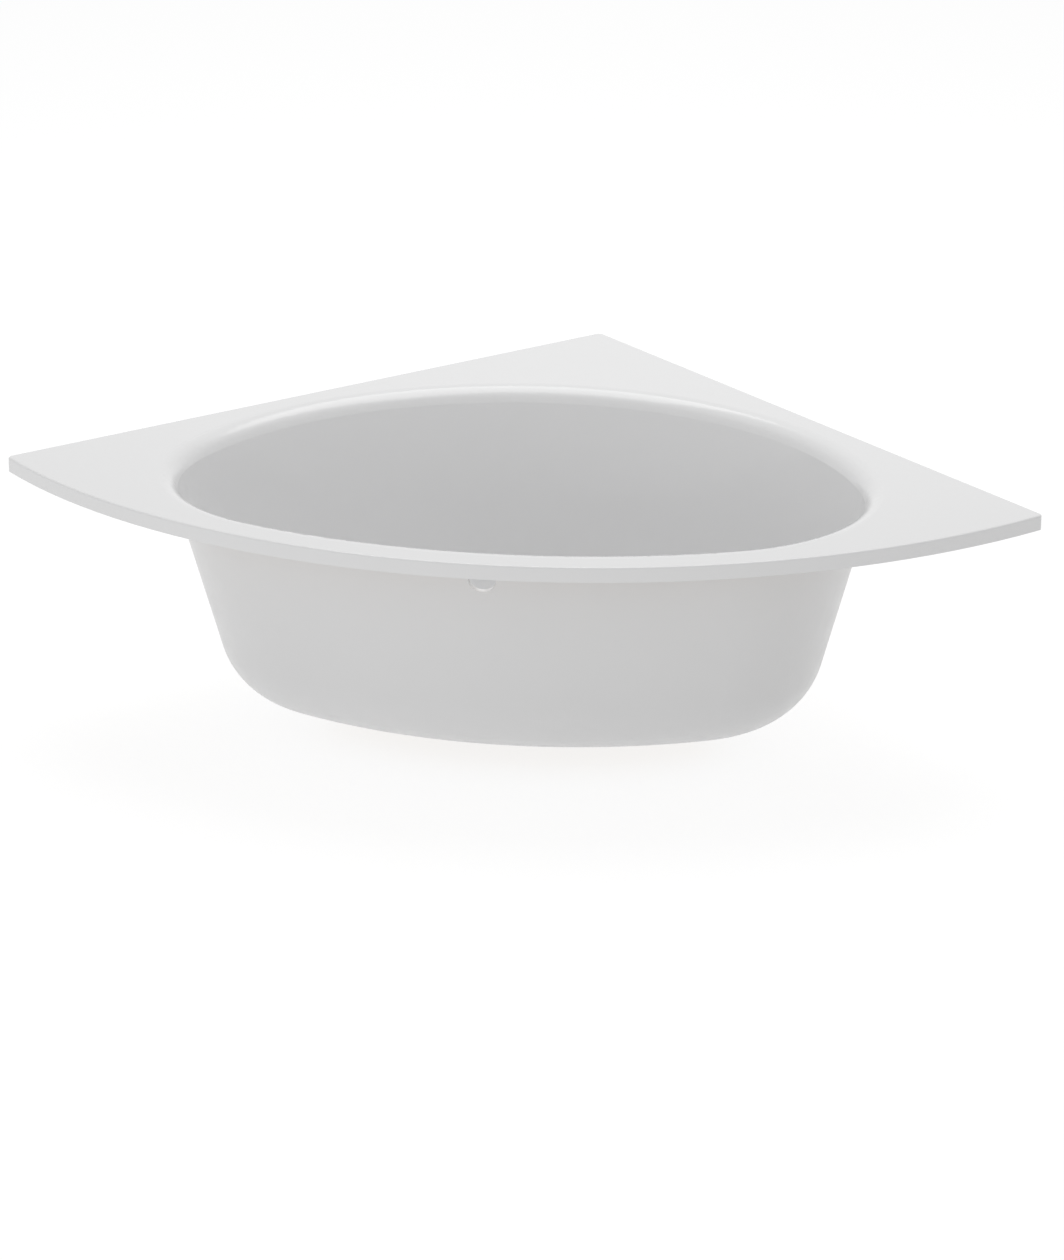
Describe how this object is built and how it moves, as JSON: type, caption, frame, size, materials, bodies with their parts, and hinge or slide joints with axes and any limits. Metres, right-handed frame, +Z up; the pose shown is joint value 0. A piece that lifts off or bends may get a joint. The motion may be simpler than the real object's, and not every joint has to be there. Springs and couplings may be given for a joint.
{
  "type": "corner bathtub",
  "caption": "Corner bathtub with a bowed front: a deep oval bowl in a wide flat deck, on screwed feet, with a push-open plug over a flat trap.",
  "frame": {"origin": "on the floor, under the middle of the bath's bounding box", "axes": "+Z up; +X along the bowed front, to the right as a bather steps in; +Y from the front towards the wall corner"},
  "size_m": [1.971, 1.4338, 0.53],
  "materials": {
    "acrylic": "glossy white moulded acrylic",
    "glass_fibre": "white glass-fibre resin, smooth satin",
    "board": "sealed chipboard",
    "timber": "planed softwood",
    "zinc_steel": "zinc-plated",
    "fastener": "bright zinc-plated",
    "pad": "black moulded",
    "chrome": "polished",
    "brass": "turned",
    "cartridge": "moulded",
    "rubber": "black",
    "trap": "white moulded"
  },
  "bodies": {
    "bath": {"bath_shell": "acrylic", "bowl_reinforcement": "glass_fibre", "base_board": "board", "corner_board": "board", "wall_batten_left": "timber", "wall_batten_right": "timber", "front_batten": "timber", "leg_rail_left": "zinc_steel", "leg_rail_right": "zinc_steel", "rail_screws": "fastener", "rail_nuts": "fastener", "lock_nuts": "fastener", "waste_flange": "chrome", "plug_cartridge": "cartridge", "flange_gasket": "rubber", "trap_gasket": "rubber", "outlet_seal": "rubber", "inlet_cap_seal": "rubber", "trap_body": "trap", "trap_dip_tube": "trap", "outlet_pipe": "trap", "outlet_nut": "trap", "overflow_inlet_cap": "trap"},
    "plug": {"plug_cap": "chrome", "plug_seal": "rubber", "plug_stem": "brass"},
    "foot_front_left": {"foot_spindle_front_left": "fastener", "foot_pad_front_left": "pad"},
    "foot_front_right": {"foot_spindle_front_right": "fastener", "foot_pad_front_right": "pad"},
    "foot_back_left": {"foot_spindle_back_left": "fastener", "foot_pad_back_left": "pad"},
    "foot_back_right": {"foot_spindle_back_right": "fastener", "foot_pad_back_right": "pad"}
  },
  "joints": [
    {"name": "plug_lift", "type": "slide", "parent": "bath", "child": "plug", "axis": [0, 0, 1], "range_m": [0, 0.01]},
    {"name": "foot_front_left_height", "type": "slide", "parent": "bath", "child": "foot_front_left", "axis": [0, 0, -1], "range_m": [0, 0.02]},
    {"name": "foot_front_right_height", "type": "slide", "parent": "bath", "child": "foot_front_right", "axis": [0, 0, -1], "range_m": [0, 0.02]},
    {"name": "foot_back_left_height", "type": "slide", "parent": "bath", "child": "foot_back_left", "axis": [0, 0, -1], "range_m": [0, 0.02]},
    {"name": "foot_back_right_height", "type": "slide", "parent": "bath", "child": "foot_back_right", "axis": [0, 0, -1], "range_m": [0, 0.02]}
  ]
}
